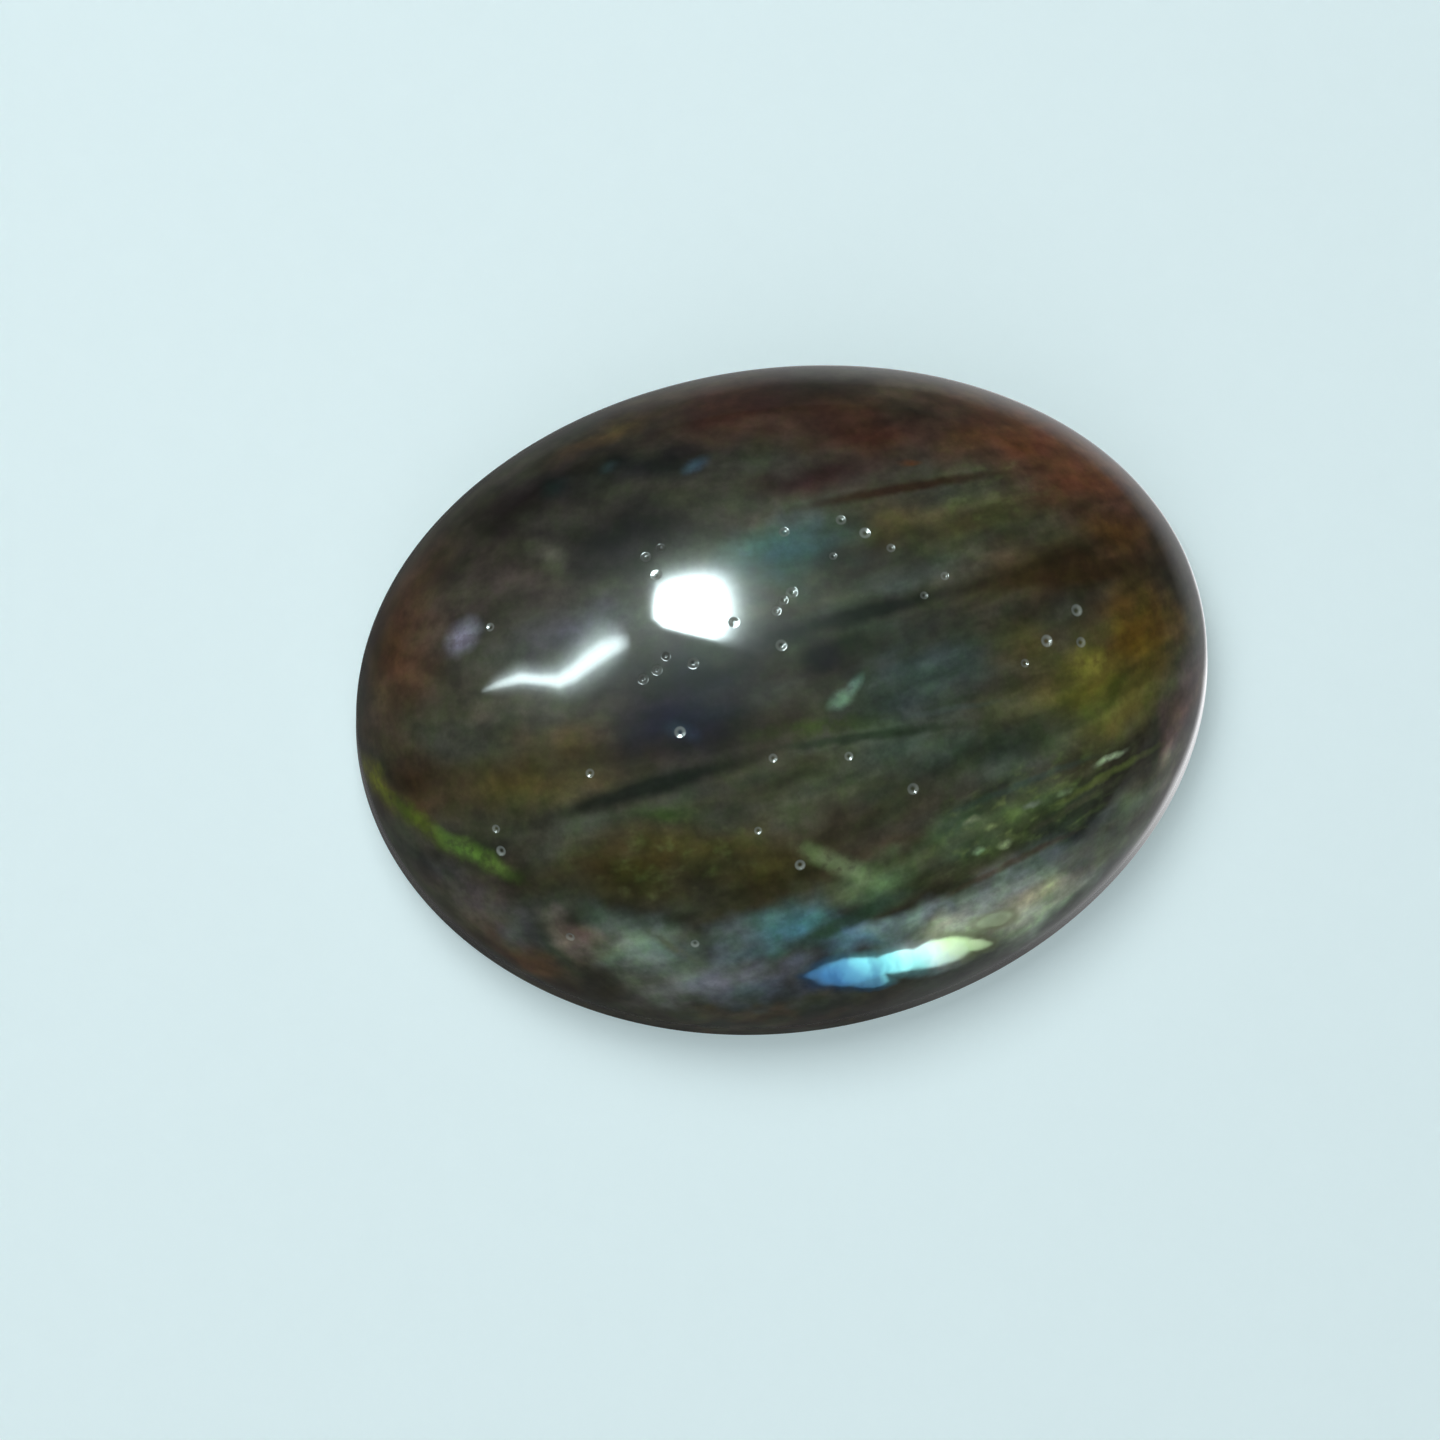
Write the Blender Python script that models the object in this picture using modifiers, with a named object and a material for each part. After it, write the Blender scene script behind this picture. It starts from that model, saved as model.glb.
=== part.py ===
"""An oval labradorite cabochon: one polished stone with a domed crown, a short straight girdle and a flat back.

The stone lies on its flat back. X runs along the oval, Z up through the crown. Sizes are in metres.
"""

import math

import bmesh
import bpy

LENGTH = 0.0210
WIDTH = 0.0162
HEIGHT = 0.0066

BACK_BEVEL = 0.00035
GIRDLE_TOP = 0.0011
GIRDLE_DRAFT = 0.00006
CROWN_FULLNESS = 2.12

STEPS_AROUND = 96
BEVEL_POINTS = 3
CROWN_POINTS = 22
MERGE_DISTANCE = 0.000001

# The oval was ground by hand: it is a little fuller at three places round its edge, and its top is off centre.
LOBE_COUNT = 3
LOBE_SHARE = 0.009
LOBE_ANGLE = math.radians(24)
CROWN_SHIFT_X = -0.0003
CROWN_SHIFT_Y = 0.0002


def clear_scene():
    for thing in list(bpy.data.objects):
        bpy.data.objects.remove(thing, do_unlink=True)


def polished_stone():
    material = bpy.data.materials.new("labradorite")
    material.use_nodes = True
    shader = material.node_tree.nodes["Principled BSDF"]
    shader.inputs["Base Color"].default_value = (0.040, 0.045, 0.032, 1.0)
    shader.inputs["Roughness"].default_value = 0.08
    shader.inputs["Metallic"].default_value = 0.0
    shader.inputs["IOR"].default_value = 1.56
    return material


def half_section():
    """Points (radius, height) from the top of the crown, down the girdle, round the bevel to the centre of the back."""
    half = LENGTH / 2
    power = 2 / CROWN_FULLNESS
    points = []
    for i in range(CROWN_POINTS + 1):
        turn = math.pi / 2 * (1 - i / CROWN_POINTS)
        radius = (half - GIRDLE_DRAFT) * max(0.0, math.cos(turn)) ** power
        rise = (HEIGHT - GIRDLE_TOP) * math.sin(turn) ** power
        points.append((radius if i else 0.0, GIRDLE_TOP + rise))
    for i in range(BEVEL_POINTS + 1):
        turn = math.pi / 2 * i / BEVEL_POINTS
        radius = half - BACK_BEVEL * (1 - math.cos(turn))
        points.append((radius, BACK_BEVEL * (1 - math.sin(turn))))
    points.append((0.0, 0.0))
    return points


def turned_stone(material, collection):
    """The half section turned round Z with a Screw modifier, as a mesh of its own."""
    section = half_section()
    mesh = bpy.data.meshes.new("half_section")
    edges = [(i, i + 1) for i in range(len(section) - 1)]
    mesh.from_pydata([(radius, 0.0, height) for radius, height in section], edges, [])
    profile = bpy.data.objects.new("half_section", mesh)
    collection.objects.link(profile)

    screw = profile.modifiers.new("turn", "SCREW")
    screw.axis = "Z"
    screw.angle = math.tau
    screw.steps = STEPS_AROUND
    screw.render_steps = STEPS_AROUND
    screw.use_merge_vertices = True
    screw.merge_threshold = MERGE_DISTANCE

    evaluated = profile.evaluated_get(bpy.context.evaluated_depsgraph_get())
    turned = bpy.data.meshes.new_from_object(evaluated)
    turned.name = "labradorite_cabochon"
    bpy.data.objects.remove(profile, do_unlink=True)
    turned.materials.append(material)
    return turned


def hand_cut(x, y, z):
    """Moves a point of the turned stone to its place on the hand-ground oval."""
    around = math.atan2(y, x)
    lobes = 1 + LOBE_SHARE * math.cos(LOBE_COUNT * (around - LOBE_ANGLE))
    up = (z / HEIGHT) ** 2
    return (
        x * lobes + CROWN_SHIFT_X * up,
        y * lobes * WIDTH / LENGTH + CROWN_SHIFT_Y * up,
        z,
    )


def centre_and_fit(points):
    """The points with their box centred on the origin and brought to the stone's length and width."""
    low_x, high_x = min(p[0] for p in points), max(p[0] for p in points)
    low_y, high_y = min(p[1] for p in points), max(p[1] for p in points)
    along = LENGTH / (high_x - low_x)
    across = WIDTH / (high_y - low_y)
    middle_x = (low_x + high_x) / 2
    middle_y = (low_y + high_y) / 2
    return [((x - middle_x) * along, (y - middle_y) * across, z) for x, y, z in points]


def flatten_back(mesh):
    """One flat face for the back, in place of the fan of thin triangles."""
    shape = bmesh.new()
    shape.from_mesh(mesh)
    bmesh.ops.recalc_face_normals(shape, faces=shape.faces)
    on_back = [face for face in shape.faces if all(v.co.z < MERGE_DISTANCE for v in face.verts)]
    bmesh.ops.dissolve_faces(shape, faces=on_back, use_verts=True)
    shape.to_mesh(mesh)
    shape.free()


def cabochon(collection):
    mesh = turned_stone(polished_stone(), collection)
    points = [hand_cut(*vertex.co) for vertex in mesh.vertices]
    for vertex, place in zip(mesh.vertices, centre_and_fit(points)):
        vertex.co = place
    flatten_back(mesh)
    mesh.shade_smooth()
    mesh.set_sharp_from_angle(angle=math.radians(30))
    stone = bpy.data.objects.new("labradorite_cabochon", mesh)
    collection.objects.link(stone)
    return stone


def main():
    clear_scene()
    collection = bpy.data.collections.new("labradorite cabochon")
    bpy.context.scene.collection.children.link(collection)
    cabochon(collection)


main()
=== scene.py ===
"""The looks of an oval labradorite cabochon: its polished surface, the colours in it, light and camera.

The stone lies on its flat back. X runs along the oval and Z up through the crown. Lengths are in
millimetres, and MM turns them into the scene's metres.
"""

import math

import bmesh
import bpy
from mathutils import Matrix, Vector, noise


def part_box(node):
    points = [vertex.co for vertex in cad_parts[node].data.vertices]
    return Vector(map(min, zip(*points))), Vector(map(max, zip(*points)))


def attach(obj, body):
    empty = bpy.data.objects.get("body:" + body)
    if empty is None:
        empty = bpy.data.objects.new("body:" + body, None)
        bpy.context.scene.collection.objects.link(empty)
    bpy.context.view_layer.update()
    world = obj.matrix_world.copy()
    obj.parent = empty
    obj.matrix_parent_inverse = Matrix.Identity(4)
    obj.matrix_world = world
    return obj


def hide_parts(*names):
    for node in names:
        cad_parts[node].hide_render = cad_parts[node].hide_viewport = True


MM = 0.001
NODE = "labradorite_cabochon"

# The stone's section and hand-ground oval, as in the solid.
BACK_BEVEL = 0.35
GIRDLE_TOP = 1.1
GIRDLE_DRAFT = 0.06
CROWN_FULLNESS = 2.12
LOBE_COUNT = 3
LOBE_SHARE = 0.009
LOBE_ANGLE = math.radians(24)
CROWN_SHIFT_X = -0.3
CROWN_SHIFT_Y = 0.2

# Fineness of the visible mesh.
STEPS_AROUND = 320
CROWN_RINGS = 116
GIRDLE_RINGS = 6
BEVEL_RINGS = 6
BACK_RINGS = 30
# Rounds in which a height on the crown is found, and the steps over which its slope and the waves' are taken.
HEIGHT_ROUNDS = 30
SLOPE_STEP = 0.01
WAVE_STEP = 0.02

# The polish is not quite true: long and short waves, size across and depth.
POLISH_WAVES = ((4.2, 0.010), (1.7, 0.0022))

# Tiny pits left in the polish: place in plan, radius, and how well the far wall turns to the lamp.
PITS = (
    (-2.81, 3.01, 0.12, 0.3), (-2.42, 3.16, 0.10, 0.0), (-2.66, 2.52, 0.12, 1.0), (-6.73, 2.20, 0.10, 0.5),
    (-3.06, 0.25, 0.12, 0.3), (-3.42, 0.11, 0.12, 0.2), (-2.79, 0.53, 0.10, 0.1), (-2.20, 0.24, 0.13, 0.4),
    (-2.80, -1.30, 0.13, 0.8), (-5.05, -1.78, 0.10, 0.5), (1.88, 3.03, 0.12, 0.4), (2.38, 2.61, 0.13, 0.7),
    (2.91, 2.14, 0.10, 0.3), (0.50, 2.97, 0.12, 0.3), (0.40, 1.47, 0.13, 0.5), (0.16, 1.32, 0.11, 0.4),
    (-0.05, 1.09, 0.11, 0.6), (-1.07, 1.01, 0.12, 1.0), (-0.09, 0.26, 0.13, 0.6), (1.52, 2.17, 0.09, 0.2),
    (7.03, 0.04, 0.14, 0.8), (6.16, -0.61, 0.14, 1.0), (6.98, -0.73, 0.12, 0.6), (4.04, 1.26, 0.10, 0.4),
    (5.53, -1.07, 0.10, 0.3), (3.46, 0.87, 0.09, 0.2), (-7.47, -2.49, 0.10, 0.7), (-7.45, -3.00, 0.12, 0.9),
    (-6.21, -5.23, 0.11, 0.5), (-3.34, -6.02, 0.10, 0.9), (-0.77, -2.31, 0.10, 0.5), (0.99, -2.58, 0.10, 0.6),
    (2.35, -3.56, 0.13, 0.6), (-1.42, -3.87, 0.09, 0.7), (-0.59, -4.80, 0.12, 1.0),
)
# The steepest and the gentlest slope of a pit's wall, and how far its normals gather to the lamp's side.
PIT_STEEP = 0.50
PIT_GENTLE = 0.10
PIT_GATHER = 0.8
# Shares of a pit's radius: where its wall begins, is even, ends, and where its lip has run out.
PIT_PROFILE = (0.25, 0.50, 0.90, 1.20)
PIT_RINGS = (1.20, 1.10, 1.02, 0.94, 0.84, 0.72, 0.60, 0.48, 0.38, 0.28, 0.14)
PIT_STEPS = 28
# Shares of its radius between which a pit's wall is painted pale: partly pale polishing residue, partly a
# painted highlight.
PIT_RESIDUE_AND_HIGHLIGHT_RING = (0.15, 0.70, 0.85, 1.20)
# How pale the painted ring is on a wall that doesn't turn to the lamp, against one that does; towards the
# lamp it is a painted highlight.
PIT_FAINT = 0.3
# The tint of the pits' painted pale ring, residue and painted highlight, and its share.
PIT_RESIDUE_AND_HIGHLIGHT_SHARE = 0.42
PIT_RESIDUE_AND_HIGHLIGHT_TINT = (0.50, 0.56, 0.52)
PIT_CLEARANCE = 0.06

# Camera: seen almost from above, a little from the lower long side.
VIEW_AZIMUTH = math.radians(-10.7)
VIEW_TILT = math.radians(10)
VIEW_DISTANCE = 150.0
FRAME_SPAN = 35.10
SENSOR = 36.0
STONE_IN_FRAME = (1.572, 0.551)
AIM_HEIGHT = 1.0
CLIP_START = 1.0

# Two lamps glint in the crown. Each is the mirror image of its glint, given by places in plan on the crown.
LAMP_DISTANCE = 190.0
GLINT_MIDDLE = (-1.95, 1.55)
GLINT_OUTLINE = (
    (-2.81, 1.87), (-2.60, 2.30), (-1.83, 2.31), (-1.27, 2.12), (-1.10, 1.64),
    (-1.17, 1.03), (-1.50, 0.63), (-2.10, 0.90), (-2.88, 1.31),
)
CORNER_CUT = 0.25
# Rings of the glint and its glow: size as a share of the outline's, and brightness.
GLINT_STEPS = (
    (0.02, 1.0), (0.92, 1.0), (1.02, 0.55), (1.08, 0.38), (1.16, 0.22), (1.28, 0.09), (1.45, 0.03),
    (1.75, 0.005), (2.1, 0.0),
)
# The glow reaches further this way.
GLINT_DRIFT = (0.58, 0.24)
# Along the bent glint: place in plan, half width, brightness.
SWOOSH = (
    (-7.25, 0.73, 0.03, 0.0), (-6.80, 0.78, 0.08, 0.6), (-6.25, 0.80, 0.12, 0.9), (-5.75, 0.62, 0.12, 0.9),
    (-5.40, 0.50, 0.16, 0.95), (-5.00, 0.60, 0.20, 1.0), (-4.60, 0.81, 0.23, 1.0), (-4.20, 0.97, 0.23, 1.0),
    (-3.85, 1.04, 0.19, 0.8), (-3.65, 1.04, 0.15, 0.35), (-3.50, 1.03, 0.12, 0.0),
)
# Across it: place in half widths, and share of its brightness.
SWOOSH_STEPS = (
    (-4.0, 0.0), (-2.6, 0.05), (-1.5, 0.20), (-0.7, 0.8), (0.0, 1.0), (0.6, 0.8), (1.5, 0.28), (2.6, 0.10),
    (3.4, 0.04), (4.6, 0.0),
)
LAMP_TINT = (0.80, 0.98, 1.0)
GLINT_GLOW = 46.0
SWOOSH_GLOW = 26.0

# A pale card round the foot of the stone, seen only in its polish: turn round Z in degrees, then its
# brightness close to the stone, a few millimetres out, and far off.
CARD_GLOW = (
    (-180, 0.12, 0.06, 0.04), (-150, 0.06, 0.05, 0.04), (-120, 0.04, 0.04, 0.03), (-90, 0.05, 0.06, 0.05),
    (-65, 0.16, 0.16, 0.10), (-45, 0.38, 0.26, 0.14), (-28, 0.90, 0.28, 0.12), (-10, 1.20, 0.30, 0.07),
    (8, 1.40, 0.38, 0.05), (25, 1.40, 0.44, 0.04), (50, 1.20, 0.40, 0.06), (75, 0.80, 0.28, 0.08),
    (100, 0.34, 0.16, 0.09), (125, 0.20, 0.08, 0.04), (150, 0.12, 0.06, 0.04),
)
# Rings of the card: how far out from the stone, and which of those brightnesses it takes.
CARD_RINGS = ((-0.4, 0), (0.35, 0), (1.0, 1), (3.0, 1), (8.0, 2), (60.0, 2))
CARD_TINT = (0.97, 0.98, 1.0)
CARD_LEVEL = -0.02

# Soft lights for the body of the stone: name, place, size, power, tint.
SOFT_LIGHTS = (
    ("key", (-24, 80, 200), 120, 0.26, (0.97, 1.0, 1.0)),
    ("fill", (-60, -140, 200), 220, 0.16, (0.96, 0.98, 1.0)),
)
FLOOR_SIZE = 1200
FLOOR_LEVEL = -0.01
FLOOR_TINT = (0.62, 0.71, 0.73, 1)
FLOOR_GLOW = (0.25, 0.32, 0.33, 1)
FLOOR_ROUGHNESS = 0.7
BACKDROP_RADIUS = 580
BACKDROP_TINT = (0.62, 0.76, 0.78)
WORLD_TINT = (0.85, 0.93, 1.0, 1)
WORLD_STRENGTH = 0.03

# The sheets that flash all face nearly one way; they fan out a little along X, by this much a millimetre.
LAMELLA_NORMAL = (-0.058, -0.176, 0.984)
LAMELLA_FAN = 0.021

STONE_IOR = 1.56
BODY_SPECULAR = 0.15
COAT_ROUGHNESS = 0.03
FLASH_METALLIC = 0.5
# Roughness of the body, and in a flash.
ROUGHNESS = (0.34, 0.5)

# The dark sheets rise along X, and more steeply towards the lower right.
SHEET_RISE = 0.08
SHEET_RISE_ACROSS = 0.03
SHEET_RISE_ALONG = 0.02
SHEET_LEAN = 0.28
# How noise is drawn out: shares along, across and down.
LONG_STRETCH = (0.20, 1.0, 0.5)
SHORT_STRETCH = (0.42, 1.0, 0.6)
VEIN_STRETCH = (0.7, 1.0, 0.6)
STREAK_STRETCH = (1.0, 0.22, 0.4)
# Nothing in the stone is quite straight: scale of the noise that moves places about, and by how much.
SLOW_BEND = (0.16, 1.0)
SOFT_BEND = (0.7, 1.3)
FRAYED_BEND = (1.8, 0.24)
TORN_BEND = (2.4, 0.15)
# Scale, detail and roughness of each noise.
BEND_DETAIL = (2.0, 0.5)
BROAD_NOISE = (0.75, 2.0, 0.5)
FINE_NOISE = (2.3, 2.0, 0.5)
CLOUD_NOISE = (0.9, 3.0, 0.55)
GREEN_NOISE = (0.7, 2.0, 0.5)
MOTTLE_NOISE = (1.6, 3.0, 0.6)
GRAIN_NOISE = (5.0, 3.0, 0.75)
PATCHY_NOISE = (2.6, 3.0, 0.6)
SPECKLE_NOISE = (1.3, 3.0, 0.6)
VEIN_NOISE = (3.0, 2.0, 0.5)
STREAK_NOISE = (2.2, 2.0, 0.5)
# From which value of its noise to which each effect runs, and from what amount to what.
BROAD_LIGHT = (0.36, 0.64, 0.72, 1.28)
FINE_LIGHT = (0.32, 0.68, 0.90, 1.12)
CLOUD_LIGHT = (0.32, 0.68, 0.78, 1.25)
MOTTLE_LIGHT = (0.32, 0.68, 0.80, 1.24)
GRAIN_LIGHT = (0.30, 0.70, 0.91, 1.09)
VEIN_STRENGTH = (0.48, 0.80, 0.0, 0.80)
MARK_STRENGTH = (0.36, 0.54, 0.5, 1.0)
STREAK_SHIFT = (0.35, 0.65, -0.16, 0.16)
STREAK_LIGHT = (0.35, 0.65, 0.92, 1.08)
# From which value of its noise to which a ramp of tints runs.
GREEN_SPREAD = (0.30, 0.70)
SPECKLE_SPREAD = (0.32, 0.68)
# Share of an ellipse's radius that has its full strength, and how far its soft edge runs past its outline.
ZONE_CORE = 0.0
SPARKLE_CORE = 0.2
CALM_CORE = 0.2
SHEET_CORE = 0.25
FLASH_CORE = 0.5
OUTER_SHARE = 0.25
# How deep an ellipse reaches: this much, and this share of its length and width.
ZONE_DEPTH = 1.4
ZONE_DEPTH_SHARE = 0.22
BODY_TINT = (0.060, 0.060, 0.042)


def superellipse(turn):
    power = 2 / CROWN_FULLNESS
    return max(0.0, math.cos(turn)) ** power, math.sin(turn) ** power


def half_section(half, height):
    """Points (radius, height) from the crown's top down the girdle, round the bevel and along the back."""
    points = []
    for i in range(CROWN_RINGS + 1):
        across, rise = superellipse(math.pi / 2 * (1 - i / CROWN_RINGS))
        points.append(((half - GIRDLE_DRAFT) * across, GIRDLE_TOP + (height - GIRDLE_TOP) * rise))
    for i in range(1, GIRDLE_RINGS):
        share = i / GIRDLE_RINGS
        points.append((half - GIRDLE_DRAFT * (1 - share), GIRDLE_TOP + (BACK_BEVEL - GIRDLE_TOP) * share))
    for i in range(BEVEL_RINGS + 1):
        turn = math.pi / 2 * i / BEVEL_RINGS
        points.append((half - BACK_BEVEL * (1 - math.cos(turn)), BACK_BEVEL * (1 - math.sin(turn))))
    for i in range(1, BACK_RINGS):
        points.append(((half - BACK_BEVEL) * (1 - i / BACK_RINGS), 0.0))
    return points


class Stone:
    """The stone's surface in millimetres, fitted to the CAD solid's box."""

    def __init__(self, low, high):
        size = (high - low) / MM
        self.length, self.width, self.height = size
        self.offset = Vector(((low.x + high.x) / 2, (low.y + high.y) / 2, low.z)) / MM
        self.section = half_section(self.length / 2, self.height)
        turns = [math.tau * i / STEPS_AROUND for i in range(STEPS_AROUND)]
        self.rings = [
            [self.hand_cut(radius * math.cos(turn), radius * math.sin(turn), z) for turn in turns]
            for radius, z in self.section[1:]
        ]
        self.fit()

    def hand_cut(self, x, y, z):
        around = math.atan2(y, x)
        lobes = 1 + LOBE_SHARE * math.cos(LOBE_COUNT * (around - LOBE_ANGLE))
        up = (z / self.height) ** 2
        narrow = self.width / self.length
        return Vector((x * lobes + CROWN_SHIFT_X * up, y * lobes * narrow + CROWN_SHIFT_Y * up, z))

    def fit(self):
        points = [point for ring in self.rings for point in ring]
        low = Vector((min(p.x for p in points), min(p.y for p in points)))
        high = Vector((max(p.x for p in points), max(p.y for p in points)))
        self.middle = (low + high) / 2
        self.grow = Vector((self.length / (high.x - low.x), self.width / (high.y - low.y)))

    def fitted(self, point):
        x = (point.x - self.middle.x) * self.grow.x + self.offset.x
        y = (point.y - self.middle.y) * self.grow.y + self.offset.y
        return Vector((x, y, point.z + self.offset.z))

    def crown_height(self, x, y):
        """Height of the crown over a place in plan, found by stepping towards it."""
        wide_x = (x - self.offset.x) / self.grow.x + self.middle.x
        wide_y = (y - self.offset.y) / self.grow.y + self.middle.y
        z = self.height
        for _ in range(HEIGHT_ROUNDS):
            up = (z / self.height) ** 2
            a = wide_x - CROWN_SHIFT_X * up
            b = (wide_y - CROWN_SHIFT_Y * up) * self.length / self.width
            lobes = 1 + LOBE_SHARE * math.cos(LOBE_COUNT * (math.atan2(b, a) - LOBE_ANGLE))
            share = min(1.0, math.hypot(a, b) / lobes / (self.length / 2 - GIRDLE_DRAFT))
            rise = (1 - share ** CROWN_FULLNESS) ** (1 / CROWN_FULLNESS)
            z = (z + GIRDLE_TOP + (self.height - GIRDLE_TOP) * rise) / 2
        return z

    def on_crown(self, x, y):
        return Vector((x, y, self.crown_height(x, y) + self.offset.z))

    def crown_normal(self, x, y):
        step = SLOPE_STEP
        slope_x = (self.crown_height(x + step, y) - self.crown_height(x - step, y)) / (2 * step)
        slope_y = (self.crown_height(x, y + step) - self.crown_height(x, y - step)) / (2 * step)
        return Vector((-slope_x, -slope_y, 1)).normalized()


def polish_wave(point):
    """How far the polish lies under the true surface here, in millimetres."""
    depth = 0.0
    for across, deep in POLISH_WAVES:
        depth += deep * 0.5 * (1 + noise.noise(point / across))
    return depth


def eased(value, start, end):
    share = min(1.0, max(0.0, (value - start) / (end - start)))
    return share * share * (3 - 2 * share)


def pit_slope(away):
    """How steep a pit is at this share of its radius, as a share of its wall's slope."""
    floor, wall, lip, rim = PIT_PROFILE
    return eased(away, floor, wall) * (1 - eased(away, lip, rim))


def pit_wall(stone, axis, catch):
    """Which way along the surface a pit's wall faces the square lamp, and the wall's slope."""
    lamp_normal = stone.crown_normal(*GLINT_MIDDLE)
    facing = (axis * axis.dot(lamp_normal) - lamp_normal).normalized()
    matching = min(PIT_STEEP, max(PIT_GENTLE, math.tan(axis.angle(lamp_normal))))
    return facing, PIT_STEEP + (matching - PIT_STEEP) * catch


def polished_normal(stone, base):
    """The polished surface's normal: the crown's own, leant by the slope of the waves."""
    normal = stone.crown_normal(base.x, base.y)
    depth = polish_wave(base)
    lean = Vector()
    for axis in (Vector((1, 0, 0)), Vector((0, 1, 0)), Vector((0, 0, 1))):
        lean += axis * (polish_wave(base + axis * WAVE_STEP) - depth) / WAVE_STEP
    return (normal + lean - normal * lean.dot(normal)).normalized()


def cut_hole(shape, centre, reach):
    """Takes away the faces near a place and returns the loop of edges left round the hole."""
    near = [vert for vert in shape.verts if (vert.co - centre).length < reach]
    gone = {face for vert in near for face in vert.link_faces}
    edges = {edge for face in gone for edge in face.edges}
    border = {edge for edge in edges if any(face not in gone for face in edge.link_faces)}
    bmesh.ops.delete(shape, geom=list(gone), context="FACES_ONLY")
    loose = [edge for vert in near for edge in vert.link_edges]
    bmesh.ops.delete(shape, geom=list(set(loose)), context="EDGES")
    bmesh.ops.delete(shape, geom=[vert for vert in near if vert.is_valid], context="VERTS")
    return border


def dig_pit(shape, stone, index, layer, normals):
    """A small round hollow with its own fine rings of faces. Notes the normal of each of its vertices."""
    x, y, radius, catch = PITS[index]
    centre = stone.on_crown(x, y)
    axis = stone.crown_normal(x, y)
    border = cut_hole(shape, centre, PIT_RINGS[0] * radius + PIT_CLEARANCE)
    for edge in border:
        for vert in edge.verts:
            normals[vert] = polished_normal(stone, stone.on_crown(vert.co.x, vert.co.y))

    along, steep = pit_wall(stone, axis, catch)
    across = axis.cross(along)
    rings = []
    depth = 0.0
    last = PIT_RINGS[0]
    for away in PIT_RINGS + (0.0,):
        depth += (last - away) * (pit_slope(last) + pit_slope(away)) / 2 * steep * radius
        last = away
        ring = []
        for i in range(PIT_STEPS if away else 1):
            turn = math.tau * i / PIT_STEPS
            outward = along * math.cos(turn) + across * math.sin(turn)
            gathered = outward.lerp(along, PIT_GATHER * catch * max(0.0, math.cos(turn))).normalized()
            base = centre + outward * away * radius
            base = stone.on_crown(base.x, base.y)
            worn = stone.crown_normal(base.x, base.y) * polish_wave(base)
            vert = shape.verts.new(base - worn - axis * depth)
            # The pale ring is painted brighter on walls that turn to the lamp: a painted highlight over pale
            # residue.
            pale = PIT_FAINT + (1 - PIT_FAINT) * catch
            vert[layer] = eased(away, *PIT_RESIDUE_AND_HIGHLIGHT_RING[:2]) * (1 - eased(away, *PIT_RESIDUE_AND_HIGHLIGHT_RING[2:])) * pale
            normals[vert] = (polished_normal(stone, base) - gathered * pit_slope(away) * steep).normalized()
            ring.append(vert)
        rings.append(ring)
    for outer, inner in zip(rings, rings[1:-1]):
        for i in range(PIT_STEPS):
            j = (i + 1) % PIT_STEPS
            shape.faces.new((outer[i], outer[j], inner[j], inner[i]))
    for i in range(PIT_STEPS):
        shape.faces.new((rings[-2][i], rings[-2][(i + 1) % PIT_STEPS], rings[-1][0]))

    rim = [shape.edges.get((rings[0][i], rings[0][(i + 1) % PIT_STEPS])) for i in range(PIT_STEPS)]
    filled = bmesh.ops.triangle_fill(shape, use_beauty=True, edges=list(border) + rim, normal=axis)
    for face in filled["geom"]:
        if isinstance(face, bmesh.types.BMFace):
            face.normal_update()
            if face.normal.dot(axis) < 0:
                face.normal_flip()


def stone_mesh(stone):
    shape = bmesh.new()
    pit_residue_and_highlight_layer = shape.verts.layers.float.new("pit")
    top = shape.verts.new(stone.fitted(stone.hand_cut(0.0, 0.0, stone.height)))
    rings = [[shape.verts.new(stone.fitted(point)) for point in ring] for ring in stone.rings]
    back = shape.verts.new(stone.fitted(stone.hand_cut(0.0, 0.0, 0.0)))
    for i in range(STEPS_AROUND):
        j = (i + 1) % STEPS_AROUND
        shape.faces.new((top, rings[0][i], rings[0][j]))
        shape.faces.new((back, rings[-1][j], rings[-1][i]))
        for upper, lower in zip(rings, rings[1:]):
            shape.faces.new((upper[i], lower[i], lower[j], upper[j]))
    shape.normal_update()
    for vert in shape.verts:
        if vert.co.z > GIRDLE_TOP / 2:
            vert.co -= vert.normal * polish_wave(vert.co)
    normals = {}
    for index in range(len(PITS)):
        dig_pit(shape, stone, index, pit_residue_and_highlight_layer, normals)
    shape.verts.index_update()
    own_normals = [Vector()] * len(shape.verts)
    for vert, normal in normals.items():
        if vert.is_valid:
            own_normals[vert.index] = normal
    bmesh.ops.scale(shape, vec=(MM, MM, MM), verts=shape.verts)
    mesh = bpy.data.meshes.new("labradorite_stone")
    shape.to_mesh(mesh)
    shape.free()
    mesh.shade_smooth()
    mesh.normals_split_custom_set_from_vertices(own_normals)
    return mesh


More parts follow.
